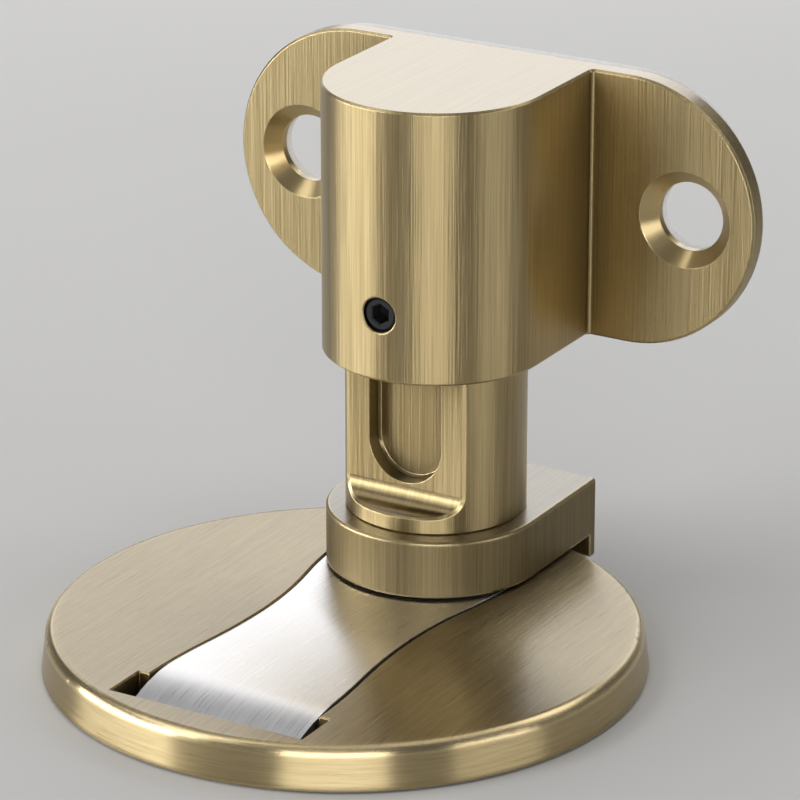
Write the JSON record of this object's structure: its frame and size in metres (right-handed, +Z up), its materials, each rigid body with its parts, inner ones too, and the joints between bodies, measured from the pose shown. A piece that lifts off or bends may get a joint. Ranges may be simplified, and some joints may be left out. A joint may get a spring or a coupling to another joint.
{
  "type": "magnetic door stop",
  "caption": "Magnetic door stop: a round floor plate with a hinged steel flap, and a door bracket with a height-adjustable post and magnetic foot.",
  "frame": {"origin": "centre of the floor plate, on the floor that its adhesive pad rests on", "axes": "+Z up from the floor, +Y towards the door that carries the bracket, +X along the fixing plate"},
  "size_m": [0.05, 0.0517, 0.0461],
  "materials": {
    "brushed_brass": "brushed satin",
    "flap_steel": "brushed",
    "pin_steel": "bright zinc",
    "magnet_nickel": "nickel plated",
    "black_steel": "black oxide",
    "adhesive_foam": "white foam"
  },
  "bodies": {
    "floor_unit": {"floor_plate": "brushed_brass", "floor_adhesive_pad": "adhesive_foam", "hinge_pin": "pin_steel"},
    "flap": {"flap": "flap_steel"},
    "door_unit": {"door_bracket": "brushed_brass", "door_adhesive_pad": "adhesive_foam", "grub_screw": "black_steel"},
    "post_unit": {"post": "brushed_brass", "foot": "brushed_brass", "magnet": "magnet_nickel", "post_screw": "pin_steel"}
  },
  "joints": [
    {"name": "door_travel", "type": "slide", "parent": "floor_unit", "child": "door_unit", "axis": [0, 1, 0], "range_m": [0, 0.06]},
    {"name": "post_height", "type": "slide", "parent": "door_unit", "child": "post_unit", "axis": [0, 0, 1], "range_m": [0, 0.01]},
    {"name": "flap_lift", "type": "hinge", "parent": "floor_unit", "child": "flap", "pos_m": [0, -0.0192, 0.00175], "axis": [1, 0, 0], "range_deg": [0, 14.1]}
  ],
  "couplings": [
    {"joint": "flap_lift", "follows": "post_height", "rad_per_m": 24.5}
  ]
}
